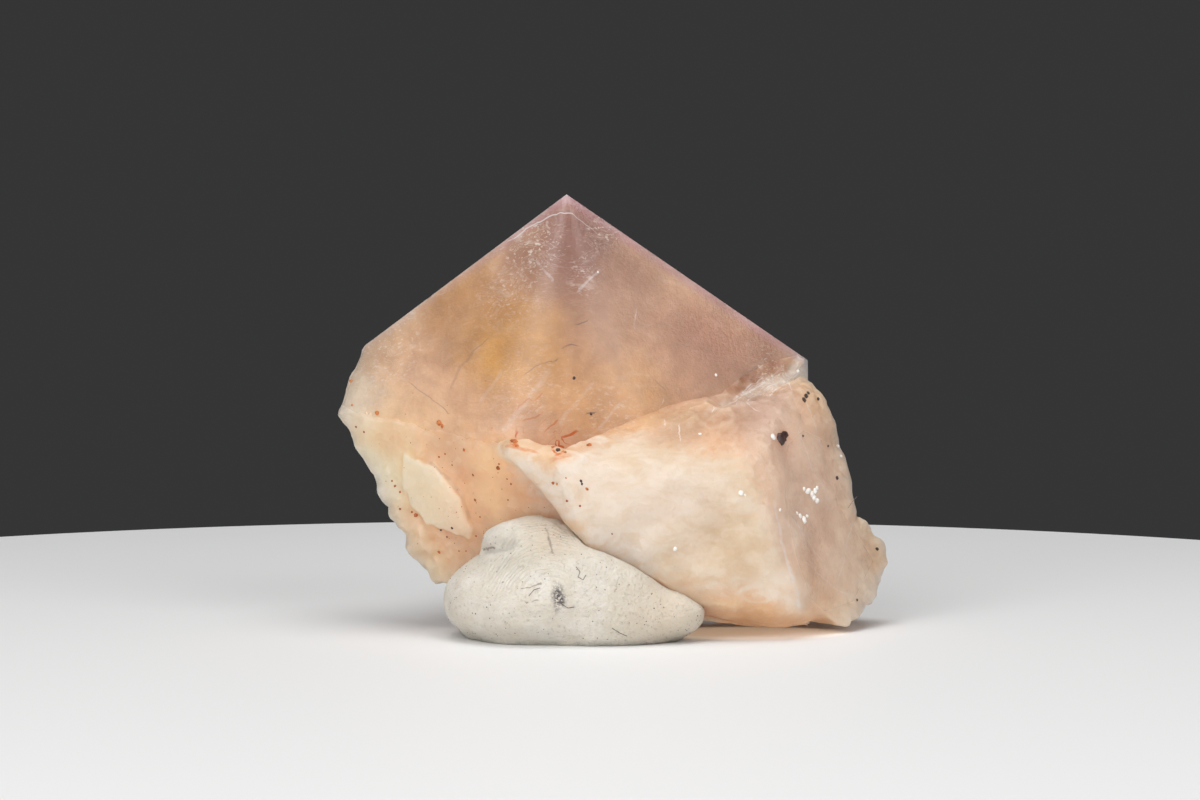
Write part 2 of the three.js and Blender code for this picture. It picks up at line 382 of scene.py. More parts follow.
# signed distance in pixels from an outline, positive inside; not measured further out than the margin
def outlineOf(corners, margin=30.0):
    pairs = zip(corners, corners[1:] + corners[:1])
    sides = [(*start, end[0] - start[0], end[1] - start[1]) for start, end in pairs]
    left, right = min(x for x, y in corners) - margin, max(x for x, y in corners) + margin
    top, bottom = min(y for x, y in corners) - margin, max(y for x, y in corners) + margin

    def inside(pixel):
        x, y = pixel
        if not (left < x < right and top < y < bottom):
            return -margin
        within = False
        nearest = 1e9
        for sx, sy, dx, dy in sides:
            if (sy > y) != (sy + dy > y) and x < dx * (y - sy) / dy + sx:
                within = not within
            t = min(1.0, max(0.0, ((x - sx) * dx + (y - sy) * dy) / (dx * dx + dy * dy)))
            nearest = min(nearest, math.hypot(x - sx - t * dx, y - sy - t * dy))
        return nearest if within else -nearest

    return inside


def smoothStep(value, low, high):
    t = min(1.0, max(0.0, (value - low) / (high - low)))
    return t * t * (3 - 2 * t)


# the edge between the two front faces is sharp at the tip and fades out below it
def roundFrontEdge(mesh, held, planes):
    left, right = sorted((tuple(n), d) for n, d in planes if n.y < -0.6)
    left, right = Vector(left[0]), Vector(right[0])
    edge = left.cross(right).normalized()
    edge = edge if edge.z < 0 else -edge
    both = [v.co.copy() for v in mesh.verts if left in held.get(v, []) and right in held[v]]
    tip = max(both, key=lambda c: c.z)
    middle = (left + right).normalized()
    slope = math.tan(left.angle(right) / 2)
    for v in mesh.verts:
        if left in held.get(v, []) or right in held.get(v, []):
            along = (v.co - tip).dot(edge)
            off = ((v.co - tip) - edge * along).length
            width = crystalLook["frontEdge"] * along
            if along > 0 and off < width:
                v.co -= middle * slope * (width - off) ** 2 / (2 * width)


def buildCrystal():
    mesh = mergedCopy("crystal")
    leafLayer = mesh.verts.layers.float.new("flake")
    grown = mesh.faces.layers.int.new("grown")
    planes = growthPlanes(mesh)
    roof = [n for n, d in planes if n.z > 0.6]
    skin = BVHTree.FromBMesh(mesh)
    for patch in growthPatches(mesh, planes):
        for face in patch:
            face[grown] = 1

    edges = list(dict.fromkeys(e for f in mesh.faces if not f[grown] for e in f.edges))
    bmesh.ops.subdivide_edges(mesh, edges=edges, cuts=crystalLook["cuts"], use_grid_fill=True)
    bmesh.ops.triangulate(mesh, faces=[f for f in mesh.faces if len(f.verts) > 3])
    corners = [e for e in mesh.edges if all(f[grown] for f in e.link_faces) and e.calc_face_angle(0) > sharpAngle]
    for edge in corners:
        cuts = int(edge.calc_length() / (crystalLook["spacing"] * mm))
        if cuts:
            bmesh.ops.subdivide_edges(mesh, edges=[edge], cuts=cuts)
    bmesh.ops.triangulate(mesh, faces=[f for f in mesh.faces if len(f.verts) > 3])
    for patch in growthPatches(mesh, planes):
        evenPatch(mesh, patch, grown)
    bmesh.ops.delete(mesh, geom=[v for v in mesh.verts if not v.link_faces], context="VERTS")
    sortMesh(mesh)
    mesh.normal_update()

    pinned = {v for f in mesh.faces if f[grown] for v in f.verts}
    held = {v: [n for n, d in planes if abs(n.dot(v.co) - d) < flatWithin] for v in pinned}
    free = [v for v in mesh.verts if v not in pinned]
    for ridge in crystalLook["rounded"]:
        near = nearTo(pathOn(skin, ridge["line"]), ridge["reach"])
        share = {v: near(v.co) for v in (mesh.verts if ridge.get("across") else free)}
        close = [v for v in share if share[v] > 0]
        soften(mesh, close, ridge["rounds"], [share[v] for v in close])
    soften(mesh, free, crystalLook["softenRounds"])
    for pull in crystalLook["drawnOut"]:
        near = nearTo([onSurface(skin, pull["at"])[0]], pull["reach"])
        for v in mesh.verts if pull.get("across") else free:
            v.co += Vector(pull["move"]) * mm * near(v.co) ** 1.5
    mesh.normal_update()

    chips = [dict(c, near=nearTo(pathOn(skin, c["line"]), c["reach"])) for c in crystalLook["chipped"]]
    flake = crystalLook["flake"]
    inFlake = outlineOf(flake["outline"])
    inGlass = outlineOf(crystalLook["glassy"])
    steps = {}
    leaf = {}
    for v in mesh.verts:
        p = v.co / mm
        if v in pinned:
            border = len(held[v]) == 1 and any(not f[grown] for f in v.link_faces)
            if border:
                side = noise.noise_vector(p / 1.3) * crystalLook["ragged"]
                steps[v] = (side - held[v][0] * side.dot(held[v][0])) * mm
            continue
        height = sum(h * noise.noise(p / length + Vector((7, 3, 5))) for length, h in crystalLook["relief"])
        height += crystalLook["hackle"]["height"] * (noise.voronoi(p / crystalLook["hackle"]["cell"])[0][0] - 0.4)
        if v.normal.y < -0.1:
            height *= 1 - 0.6 * smoothStep(inGlass(pixelOf(v.co)), -10, 20)
        for chip in chips:
            share = min(1.0, 2 * chip["near"](v.co))
            if share > 0:
                height += share * chip["height"] * (noise.voronoi(p / chip["cell"])[0][0] - 0.4)
        if v.normal.y < -0.2 and p.x < -10:
            wobble = Vector(pixelOf(v.co)) + noise.noise_vector(p / 1.1).xz * 2.5
            leaf[v] = smoothStep(inFlake(wobble), -2.0, 2.0)
            height = height * (1 - 0.5 * leaf[v]) + flake["height"] * leaf[v]
        steps[v] = v.normal * height * mm
    for v, step in steps.items():
        v.co += step
    roundFrontEdge(mesh, held, planes)
    mesh.normal_update()

    for v, share in leaf.items():
        v[leafLayer] = share
    worn = [
        e for e in mesh.edges
        if all(f[grown] for f in e.link_faces) and e.calc_face_angle(0) > sharpAngle
        and any(n.dot(f.normal) > 0.99 for n in roof for f in e.link_faces)
    ]
    bmesh.ops.bevel(mesh, geom=worn, offset=crystalLook["bevel"] * mm, segments=2, affect="EDGES", profile=0.6)
    bmesh.ops.triangulate(mesh, faces=[f for f in mesh.faces if len(f.verts) > 3])
    sortMesh(mesh)
    mesh.normal_update()
    blurred = [nearTo(pathOn(skin, r["line"]), r["reach"]) for r in crystalLook["rounded"] if r.get("across")]
    flags = []
    for face in mesh.faces:
        soft = max(near(face.calc_center_median()) for near in blurred)
        flags.append((1 - face[grown]) * (1 - soft) + 0.5 * soft)
    for face in mesh.faces:
        face.smooth = True
    for edge in mesh.edges:
        kinds = {f[grown] for f in edge.link_faces}
        limit = 50 if kinds == {0} else 15 if kinds == {1} else 22
        edge.smooth = edge.calc_face_angle(0) < math.radians(limit)

    data = bpy.data.meshes.new("fluorite crystal")
    mesh.to_mesh(data)
    data.attributes.new("broken", "FLOAT", "FACE").data.foreach_set("value", flags)
    mesh.free()
    made = bpy.data.objects.new("fluoriteCrystal", data)
    scene.collection.objects.link(made)
    return made, planes


crystal, growth = buildCrystal()
crystalSkin = skinOf(crystal.data)
print("crystal:", len(crystal.data.polygons), "faces,", len(growth), "growth faces")

fluorite = {
    "base": (0.81, 0.515, 0.32),
    # colour areas, some of them painted light and shade: centre as a pixel of the photograph, inner and outer reach in
    # mm, colour, strength
    "zonesAndPaintedLight": (
        ((560, 290), 2, 11, (0.56, 0.345, 0.235), 0.7),
        ((640, 300), 1, 10, (0.62, 0.39, 0.28), 0.75),
        ((645, 400), 1, 5.5, (0.72, 0.43, 0.215), 0.8),
        ((688, 424), 1, 5, (0.53, 0.335, 0.20), 0.9),
        # painted shade: darker where the top of the pale block faces up to the top lamp
        ((640, 436), 0.5, 4.5, (0.62, 0.41, 0.28), 0.85),
        ((715, 345), 1, 9, (0.56, 0.31, 0.225), 0.8),
        ((465, 310), 2, 9, (0.60, 0.365, 0.205), 0.85),
        ((515, 345), 1, 8, (0.74, 0.41, 0.13), 0.9),
        ((600, 400), 2, 8, (0.79, 0.475, 0.24), 0.85),
        ((520, 395), 1, 5, (0.74, 0.43, 0.21), 0.7),
        ((575, 215), 1, 10, (0.29, 0.155, 0.155), 0.85),
        ((575, 265), 0.5, 6.5, (0.38, 0.205, 0.165), 0.75),
        ((395, 375), 2, 9, (0.79, 0.53, 0.355), 0.85),
        # painted light: lighter on the lower left, which glows and is lit less by the lamps
        ((395, 460), 2, 11, (1.0, 0.70, 0.44), 0.9),
        ((500, 490), 1, 7, (1.0, 0.64, 0.36), 0.85),
        ((430, 560), 2, 6, (1.0, 0.64, 0.41), 0.8),
        # painted shade: darker on the ledge that faces up to the top lamp
        ((770, 408), 2, 9, (0.40, 0.25, 0.185), 0.9),
        ((815, 480), 1, 11, (1.0, 0.75, 0.595), 0.85),
        ((845, 570), 1, 10, (0.98, 0.755, 0.60), 0.85),
        ((735, 540), 1, 6, (0.84, 0.62, 0.41), 0.8),
        ((785, 510), 1, 8, (0.90, 0.735, 0.60), 0.8),
        ((790, 588), 1, 5, (0.93, 0.76, 0.62), 0.85),
        ((455, 292), 1, 5, (0.60, 0.33, 0.15), 0.7),
        ((512, 258), 0.5, 4, (0.45, 0.265, 0.20), 0.7),
        ((640, 262), 0.5, 4, (0.50, 0.29, 0.21), 0.6),
        ((766, 350), 0.5, 4.5, (0.42, 0.225, 0.16), 0.8),
        ((362, 392), 1, 4.5, (1.0, 0.76, 0.57), 0.75),
        ((382, 482), 1, 6, (1.0, 0.80, 0.57), 0.8),
        ((755, 616), 1, 6, (0.72, 0.42, 0.21), 0.9),
    ),
    "rim": (0.50, 0.25, 0.28),
    # the frosted plate, and creamy patches in it, those along its top edge being painted shade: centre as a pixel,
    # reach in mm, strength
    "plate": ((497, 447), (522, 452), (552, 461), (572, 449), (600, 434), (640, 432), (665, 438), (700, 444),
              (735, 450), (752, 464), (764, 484), (768, 508), (782, 545), (800, 606), (760, 600), (700, 592),
              (640, 575), (590, 545), (545, 508), (512, 472)),
    "creamAndShadeWindows": (((738, 550), 8.5, 0.9), ((680, 575), 7.0, 0.7), ((715, 448), 6.0, 0.9), ((750, 470), 5.0, 0.8),
                ((625, 444), 4.5, 0.8), ((665, 440), 5.0, 0.9)),
    "frost": (0.745, 0.65, 0.555, 1),
    "cream": (0.65, 0.51, 0.36, 1),
    "leaf": (1.0, 0.75, 0.545, 1),
    "crest": ((700, 415), (735, 392), (770, 374), (800, 355), (808, 372), (780, 392), (745, 404), (715, 414)),
    # milky veils, the same way
    "veils": (((528, 250), 5.5, 0.8), ((590, 272), 3.5, 0.5), ((510, 290), 6.0, 0.5), ((600, 235), 3.0, 0.6),
              ((540, 390), 9.0, 0.28), ((600, 410), 7.0, 0.38), ((385, 350), 8.0, 0.5), ((760, 385), 5.0, 1.0)),
    "cloud": (0.50, 0.27, 0.18, 1),
    "thread": (0.97, 0.86, 0.76, 1),
    "absorption": {"Color": (0.95, 0.62, 0.42, 1), "Density": 25.0},
    # lines drawn on the faces: pixels, half width in mm, strength
    "marks": {
        "pale": (
            (((509, 242), (526, 229), (548, 218), (571, 212)), 0.09, 0.7),
            (((571, 212), (584, 223), (596, 233)), 0.06, 0.4),
            (((578, 290), (590, 279), (600, 270)), 0.2, 0.35),
            (((637, 310), (634, 326)), 0.1, 0.5),
            (((536, 262), (545, 272), (553, 280)), 0.2, 0.3),
            # painted highlight along the worn ridge on the right of the plate
            (((775, 505), (783, 545), (800, 605)), 0.32, 0.35),
            (((664, 400), (664, 425)), 0.08, 0.5),
            (((505, 430), (530, 395), (548, 372)), 0.4, 0.14),
            (((560, 422), (578, 400), (592, 384)), 0.3, 0.14),
            (((600, 428), (612, 414), (622, 402)), 0.2, 0.2),
            (((480, 402), (492, 386), (500, 372)), 0.25, 0.14),
            (((798, 430), (806, 450), (812, 470)), 0.06, 0.5),
            (((820, 440), (828, 470), (836, 505)), 0.06, 0.5),
            (((795, 522), (808, 542), (822, 560)), 0.06, 0.5),
            (((852, 522), (846, 550), (838, 580)), 0.06, 0.5),
            (((805, 562), (828, 582), (850, 600)), 0.06, 0.5),
            (((678, 426), (681, 440)), 0.09, 0.6),
            (((712, 410), (738, 395), (762, 378)), 0.12, 0.6),
            (((728, 404), (756, 389), (780, 370)), 0.14, 0.5),
            (((748, 400), (772, 385), (798, 364)), 0.12, 0.6),
            (((770, 396), (786, 384), (800, 372)), 0.1, 0.5),
            (((756, 376), (772, 381), (790, 384)), 0.08, 0.5),
            (((782, 366), (788, 376), (792, 390)), 0.08, 0.5),
            (((735, 398), (746, 402), (757, 411)), 0.08, 0.4),
            (((805, 400), (814, 422), (820, 446)), 0.07, 0.4),
        ),
        "slate": (
            (((452, 386), (462, 366), (474, 351)), 0.22, 0.25),
            (((474, 351), (488, 339)), 0.09, 0.4),
            (((410, 383), (430, 398), (448, 413)), 0.07, 0.4),
            (((578, 325), (586, 321)), 0.1, 0.7),
            (((563, 346), (570, 343), (576, 345)), 0.1, 0.7),
            (((525, 374), (537, 365), (551, 361)), 0.08, 0.5),
            (((553, 363), (558, 360)), 0.12, 0.8),
            (((588, 414), (594, 413)), 0.15, 0.8),
            (((655, 382), (664, 389)), 0.1, 0.4),
            # painted shadow along the right edge of the proud flake
            (((430, 463), (448, 479), (462, 497), (469, 518)), 0.3, 0.22),
        ),
        "rust": (
            (((516, 432), (513, 440), (517, 447)), 0.3, 0.9),
            (((552, 449), (562, 437), (575, 432)), 0.2, 0.9),
            (((506, 446), (520, 449), (536, 453)), 0.25, 0.5),
            (((551, 461), (560, 457), (570, 455)), 0.35, 0.6),
            (((553, 450), (557, 446), (562, 447), (564, 451), (560, 454), (555, 453), (553, 450)), 0.18, 1.0),
            (((524, 420), (536, 417), (541, 414)), 0.15, 0.4),
            (((545, 432), (551, 426), (556, 421)), 0.12, 0.5),
            (((518, 408), (524, 402), (529, 398)), 0.1, 0.4),
            (((535, 400), (541, 393)), 0.1, 0.4),
        ),
    },
    "tints": {"pale": (0.9, 0.86, 0.86, 1), "slate": (0.26, 0.19, 0.17, 1), "rust": (0.64, 0.13, 0.01, 1)},
}


# colour areas with painted light and shade, frost and lines, kept on the points of the crystal
def paintCrystal():
    data = crystal.data

    def placed(rows):
        return [(onSurface(crystalSkin, pixel)[0] / mm, *rest) for pixel, *rest in rows]

    def strongest(spots, place, inner):
        return max(
            share * smoothStep(outer - (place - centre).length, 0, outer - inner)
            for centre, outer, share in spots
        )

    zonesAndPaintedLight = placed(fluorite["zonesAndPaintedLight"])
    creamAndShadeWindows = placed(fluorite["creamAndShadeWindows"])
    veils = placed(fluorite["veils"])
    inPlate = outlineOf(fluorite["plate"])
    inCrest = outlineOf(fluorite["crest"])
    inGlass = outlineOf(crystalLook["glassy"])
    rim = Vector(fluorite["rim"])
    tones, frosts, creams, clears, milks = [], [], [], [], []
    for v in data.vertices:
        p = v.co / mm
        q = p + noise.noise_vector(p * 0.12) * 2.2 + noise.noise_vector(p * 0.4) * 0.7
        tone = Vector(fluorite["base"])
        for centre, inner, outer, colour, share in zonesAndPaintedLight:
            away = (q - centre).length
            if away < outer:
                tone = tone.lerp(Vector(colour), share * smoothStep(outer - away, 0, outer - inner))
        for normal, reach in growth:
            if normal.z > 0.6:
                depth = reach / mm - normal.dot(p)
                share = 0.2 + 0.5 * smoothStep(p.x, -22, -4)
                tone = tone.lerp(rim, smoothStep(-depth, -1.2, -0.2) * share)
        frost = glassy = 0.0
        if v.normal.y < -0.1:
            pixel = pixelOf(v.co)
            glassy = smoothStep(inGlass(pixel), -15, 25)
            frost = max(smoothStep(inPlate(pixel), -20, 26), 0.55 * smoothStep(inCrest(pixel), -5, 8))
        tones.extend((*tone, 1.0))
        frosts.append(frost)
        creams.append(strongest(creamAndShadeWindows, q, 1))
        clears.append(glassy)
        milks.append(strongest(veils, q, 0.5))
    data.attributes.new("tone", "FLOAT_COLOR", "POINT").data.foreach_set("color", tones)
    for name, values in (("frost", frosts), ("cream", creams), ("clear", clears), ("veil", milks)):
        data.attributes.new(name, "FLOAT", "POINT").data.foreach_set("value", values)

    # signed distance in line widths, so that thin lines stay sharp between the points
    count = len(data.vertices)
    tree = KDTree(count)
    for i, v in enumerate(data.vertices):
        tree.insert(v.co, i)
    tree.balance()
    for name, marks in fluorite["marks"].items():
        away, depth, nearest = [9.0] * count, [0.0] * count, [9.0] * count
        for line, width, strength in marks:
            hits = [onSurface(crystalSkin, pixel) for pixel in line]
            for (start, normal), (end, _) in zip(hits, hits[1:]):
                along = end - start
                for co, i, _ in tree.find_range((start + end) / 2, along.length / 2 + 1.2 * mm):
                    push = noise.noise_vector(co / mm * 0.6) * 0.2 + noise.noise_vector(co / mm * 1.8) * 0.06
                    spot = co + push * mm
                    t = (spot - start).dot(along) / along.length_squared
                    over = max(0.0, -t, t - 1) * along.length / mm
                    off = spot - start - along * min(1.0, max(0.0, t))
                    if off.length / mm < min(1.1, nearest[i]):
                        nearest[i] = off.length / mm
                        side = 1 if along.cross(normal).dot(off) > 0 else -1
                        away[i] = side * off.length / mm / width
                        near = min(1.0, max(0.0, (1 - nearest[i]) / 0.4))  # gone before the reach of the line ends
                        depth[i] = strength * max(0.0, 1 - over / 0.35) * near
        data.attributes.new(name + "Away", "FLOAT", "POINT").data.foreach_set("value", away)
        data.attributes.new(name + "Depth", "FLOAT", "POINT").data.foreach_set("value", depth)


paintCrystal()
print("crystal painted")


def fluoriteMaterial():
    material, tree, shader, output = newMaterial("cloudy fluorite")
    place = placeInMm(tree)

    def stored(name, socket="Fac"):
        return addNode(tree, "ShaderNodeAttribute", attribute_name=name).outputs[socket]

    broken = stored("broken")
    cloud = noiseAt(tree, place, 0.3, 6, 0.6, 0.3)
    colour = mixColour(tree, fade(tree, cloud, 0.25, 0.75, 0.22, 0.0), stored("tone", "Color"), fluorite["cloud"])

    # veils, threads and sparkles inside: level lines and peaks of noises, stretched along a slant
    slant = {"Vector": place, "Rotation": (0, -0.75, 0), "Scale": (0.45, 1.0, 1.0)}
    tilt = addNode(tree, "ShaderNodeMapping", slant)
    veil = noiseAt(tree, tilt.outputs[0], 0.75, 4, 0.62, 0.8)
    thread = fade(tree, doMath(tree, "ABSOLUTE", doMath(tree, "SUBTRACT", veil, 0.5)), 0.0, 0.022, 0.55, 0.0)
    thread = doMath(tree, "MAXIMUM", thread, fade(tree, veil, 0.52, 0.75, 0.0, 0.9))
    sparkle = fade(tree, noiseAt(tree, tilt.outputs[0], 3.2, 2, 0.6), 0.58, 0.66)
    milky = stored("veil")
    thread = doMath(tree, "MULTIPLY", thread, fade(tree, milky, 0.0, 1.0, 0.15, 0.9))
    thread = doMath(tree, "MAXIMUM", thread, doMath(tree, "MULTIPLY", sparkle, milky))
    colour = mixColour(tree, thread, colour, fluorite["thread"])

    # milky frost with a fluffy border
    frost = doMath(tree, "ADD", stored("frost"), doMath(tree, "MULTIPLY", doMath(tree, "SUBTRACT", veil, 0.5), 1.3))
    frost = doMath(tree, "MULTIPLY", fade(tree, frost, 0.15, 0.95, 0.0, 0.9), fade(tree, stored("frost"), 0.0, 0.3))
    # creamy patches, those along the plate's top edge painted shade where it faces up to the top lamp
    cream = doMath(tree, "ADD", stored("cream"), fade(tree, veil, 0.62, 0.34, -0.12, 0.3), clamp=True)
    colour = mixColour(tree, frost, colour, mixColour(tree, cream, fluorite["frost"], fluorite["cream"]))

    # the flake is palest on its left
    across = addNode(tree, "ShaderNodeSeparateXYZ", {0: place}).outputs["X"]
    leaf = fade(tree, doMath(tree, "ADD", across, veil), -19.5, -13.0, 0.95, 0.4)
    leaf = doMath(tree, "MULTIPLY", fade(tree, stored("flake"), 0.3, 0.7), leaf)
    colour = mixColour(tree, leaf, colour, fluorite["leaf"])

    # drawn lines, with gaps
    gaps = fade(tree, veil, 0.36, 0.5, 0.3, 1.0)
    for name, tint in fluorite["tints"].items():
        line = fade(tree, doMath(tree, "ABSOLUTE", stored(name + "Away")), 0.4, 1.0, 1.0, 0.0)
        line = doMath(tree, "MULTIPLY", doMath(tree, "MULTIPLY", line, stored(name + "Depth")), gaps)
        colour = mixColour(tree, line, colour, tint)
    plug(tree, shader.inputs["Base Color"], colour)

    # growth faces are the clearest and smoothest
    clear = fade(tree, cloud, 0.3, 0.7, 0.4, 0.25)
    clear = doMath(tree, "MULTIPLY", clear, fade(tree, broken, 0, 1, 1, 0.5))
    clear = doMath(tree, "ADD", clear, doMath(tree, "MULTIPLY", stored("clear"), 0.12))
    clear = doMath(tree, "MULTIPLY", clear, fade(tree, frost, 0, 1, 1, 0.3))
    plug(tree, shader.inputs["Transmission Weight"], clear)
    rough = fade(tree, broken, 0, 1, 0.14, 0.42)
    rough = doMath(tree, "MULTIPLY", rough, fade(tree, stored("clear"), 0, 1, 1, 0.6))
    plug(tree, shader.inputs["Roughness"], rough)
    shader.inputs["IOR"].default_value = 1.434
    shader.inputs["Subsurface Weight"].default_value = 1.0
    shader.inputs["Subsurface Radius"].default_value = (0.9, 0.95, 1.0)
    shader.inputs["Subsurface Scale"].default_value = 0.009

    haze = addNode(tree, "ShaderNodeVolumeAbsorption", fluorite["absorption"])
    tree.links.new(haze.outputs["Volume"], output.inputs["Volume"])

    # fine hackly facets on the breaks, next to nothing on the growth faces
    cells = addNode(tree, "ShaderNodeTexVoronoi", {"Vector": place, "Scale": 1.9})
    facets = doVector(tree, "SUBTRACT", cells.outputs["Color"], (0.5, 0.5, 0.5))
    amount = fade(tree, broken, 0, 1, 0.01, 0.35)
    amount = doMath(tree, "MULTIPLY", amount, fade(tree, stored("clear"), 0, 1, 1, 0.5))
    facets = scaled(tree, facets, amount)
    fine = noiseAt(tree, place, 2.6, 4, 0.65)
    bump = addNode(tree, "ShaderNodeBump", {"Height": fine, "Strength": 0.35, "Distance": 0.0002})
    normal = doVector(tree, "NORMALIZE", doVector(tree, "ADD", bump.outputs["Normal"], facets))
    tree.links.new(normal, shader.inputs["Normal"])
    return material


crystal.data.materials.append(fluoriteMaterial())
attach(crystal, "root")
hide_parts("crystal")

# putty
puttyLook = {
    "voxel": 0.4,  # mm
    "pressReach": 0.8,  # the putty touches the crystal where it is nearer than this, mm
    "lumps": ((5.0, 0.25), (1.8, 0.11), (1.0, 0.07)),  # wave length and height, mm
    "groove": {"line": ((478, 551), (486, 549), (496, 548), (508, 545)), "reach": 1.1, "depth": 1.0},
    "swell": {"line": ((488, 536), (500, 530), (512, 527)), "reach": 2.6, "depth": -0.5},
    "end": {"line": ((684, 609), (693, 613)), "reach": 3.2, "depth": -0.9},
    # painted orange glow: light come through the crystal onto the putty, under the plate and at its right end
    "paintedGlow": ({"at": (552, 537), "outer": 5.0}, {"at": (668, 612), "outer": 8.0}),
    "colour": (0.70, 0.64, 0.545, 1),
    "pale": (0.78, 0.73, 0.65, 1),
    "paintedGlowTint": (0.68, 0.57, 0.44, 1),
    "pitShadeTint": (0.42, 0.36, 0.29, 1),
    "crackShadeTint": (0.22, 0.16, 0.13, 1),
    "footShadeTint": (0.25, 0.23, 0.19, 1),
    # fingerprint ridges, mm
    "prints": {"centre": (548, 600), "at": (528, 553), "inner": 2.5, "outer": 6.0, "pitch": 0.45},
    "dirt": {"at": (558, 597), "inner": 0.4, "outer": 1.5, "stretch": (0.6, 1.0, 1.3),
             "colour": (0.09, 0.075, 0.075, 1)},
    "cracks": (
        {"line": ((546, 528), (549, 540), (553, 553)), "width": 0.16, "depth": 0.5},
        {"line": ((522, 589), (533, 586), (541, 583)), "width": 0.12, "depth": 0.6},
        {"line": ((526, 603), (538, 600)), "width": 0.1, "depth": 0.5},
        {"line": ((619, 577), (615, 592)), "width": 0.1, "depth": 0.4},
        {"line": ((484, 549), (494, 548)), "width": 0.2, "depth": 0.7},
    ),
}


def plainMesh(source):
    graph = bpy.context.evaluated_depsgraph_get()
    return bpy.data.meshes.new_from_object(source.evaluated_get(graph), depsgraph=graph)


def buildPutty():
    start = mergedCopy("putty")
    data = bpy.data.meshes.new("putty start")
    start.to_mesh(data)
    start.free()
    made = bpy.data.objects.new("mountingPutty", data)
    scene.collection.objects.link(made)
    remesh = made.modifiers.new("even mesh", "REMESH")
    remesh.mode = "VOXEL"
    remesh.voxel_size = puttyLook["voxel"] * mm
    made.data = plainMesh(made)
    made.modifiers.clear()

    mesh = bmesh.new()
    mesh.from_mesh(made.data)
    soften(mesh, list(mesh.verts), 4)
    mesh.normal_update()
    for v in mesh.verts:
        p = v.co / mm
        v.co += v.normal * mm * sum(h * noise.noise(p / length) for length, h in puttyLook["lumps"])
    skin = BVHTree.FromBMesh(mesh)
    for dent in (puttyLook["swell"], puttyLook["end"], puttyLook["groove"]):
        near = nearTo(pathOn(skin, dent["line"]), dent["reach"])
        for v in mesh.verts:
            v.co -= v.normal * mm * dent["depth"] * near(v.co) ** 1.5
    for v in mesh.verts:
        near, normal, _, distance = crystalSkin.find_nearest(v.co, puttyLook["pressReach"] * mm)
        if near:
            v.co = v.co.lerp(near + normal * 0.02 * mm, 1 - (distance / mm / puttyLook["pressReach"]) ** 2)
    for v in mesh.verts:
        if v.co.z < 0.5 * mm:
            v.co.z = max(0.0, (v.co.z - 0.2 * mm) * 1.67)
    mesh.normal_update()
    for face in mesh.faces:
        face.smooth = True
    mesh.to_mesh(made.data)
    mesh.free()
    return made


putty = buildPutty()
print("putty:", len(putty.data.polygons), "faces")


def puttyMaterial():
    skin = skinOf(putty.data)
    material, tree, shader, _ = newMaterial("off-white putty")
    place = placeInMm(tree)

    def at(pixel):
        return tuple(onSurface(skin, pixel)[0] / mm)

    tone = noiseAt(tree, place, 0.5, 6, 0.6)
    colour = mixColour(tree, fade(tree, tone, 0.35, 0.7), puttyLook["colour"], puttyLook["pale"])
    # painted orange glow from the crystal
    for spot in puttyLook["paintedGlow"]:
        mask = blob(tree, place, at(spot["at"]), 0.5, spot["outer"])
        colour = mixColour(tree, doMath(tree, "MULTIPLY", mask, 0.7), colour, puttyLook["paintedGlowTint"])
    # painted shade in the small pits, which the bump also sinks
    pits = fade(tree, noiseAt(tree, place, 3.2, 3, 0.6), 0.3, 0.44, 0.32, 0.0)
    colour = mixColour(tree, pits, colour, puttyLook["pitShadeTint"])
    dirt = puttyLook["dirt"]
    smudge = wandering(tree, place, 1.2, 1.2)
    mask = blob(tree, smudge, at(dirt["at"]), dirt["inner"], dirt["outer"], dirt["stretch"])
    mask = doMath(tree, "MULTIPLY", mask, fade(tree, noiseAt(tree, place, 3.5, 4, 0.7), 0.40, 0.54))
    colour = mixColour(tree, doMath(tree, "MULTIPLY", mask, 0.95), colour, dirt["colour"])
    lines = [dict(c, points=[at(p) for p in c["line"]]) for c in puttyLook["cracks"]]
    cracks = strokes(tree, wandering(tree, place, 1.5, 0.5), lines)
    # painted shade in the cracks
    colour = mixColour(tree, cracks, colour, puttyLook["crackShadeTint"])
    # painted shade: darker in patches towards the foot, where the putty meets the floor
    height = addNode(tree, "ShaderNodeSeparateXYZ", {0: place}).outputs["Z"]
    footShade = doMath(tree, "MULTIPLY", fade(tree, height, 0.1, 0.9, 0.5, 0.0), fade(tree, tone, 0.35, 0.6))
    colour = mixColour(tree, footShade, colour, puttyLook["footShadeTint"])
    plug(tree, shader.inputs["Base Color"], colour)
    shader.inputs["Roughness"].default_value = 0.8
    shader.inputs["Subsurface Weight"].default_value = 0.3
    shader.inputs["Subsurface Radius"].default_value = (1.0, 0.7, 0.5)
    shader.inputs["Subsurface Scale"].default_value = 0.0012

    prints = puttyLook["prints"]
    bent = wandering(tree, place, 0.35, 1.4, 2)
    rings = lengthOf(tree, doVector(tree, "SUBTRACT", bent, at(prints["centre"])))
    rings = doMath(tree, "SINE", doMath(tree, "MULTIPLY", rings, math.tau / prints["pitch"]))
    rings = doMath(tree, "MULTIPLY", rings, blob(tree, place, at(prints["at"]), prints["inner"], prints["outer"]))
    fine = doMath(tree, "MULTIPLY", noiseAt(tree, place, 2.6, 6, 0.65), 4.0)
    relief = doMath(tree, "ADD", doMath(tree, "MULTIPLY", rings, 0.8), fine)
    relief = doMath(tree, "SUBTRACT", relief, doMath(tree, "ADD", cracks, doMath(tree, "MULTIPLY", pits, 3.0)))
    bump = addNode(tree, "ShaderNodeBump", {"Height": relief, "Strength": 0.7, "Distance": 0.00015})
    tree.links.new(bump.outputs["Normal"], shader.inputs["Normal"])
    return material


putty.data.materials.clear()
putty.data.materials.append(puttyMaterial())
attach(putty, "root")
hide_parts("putty")


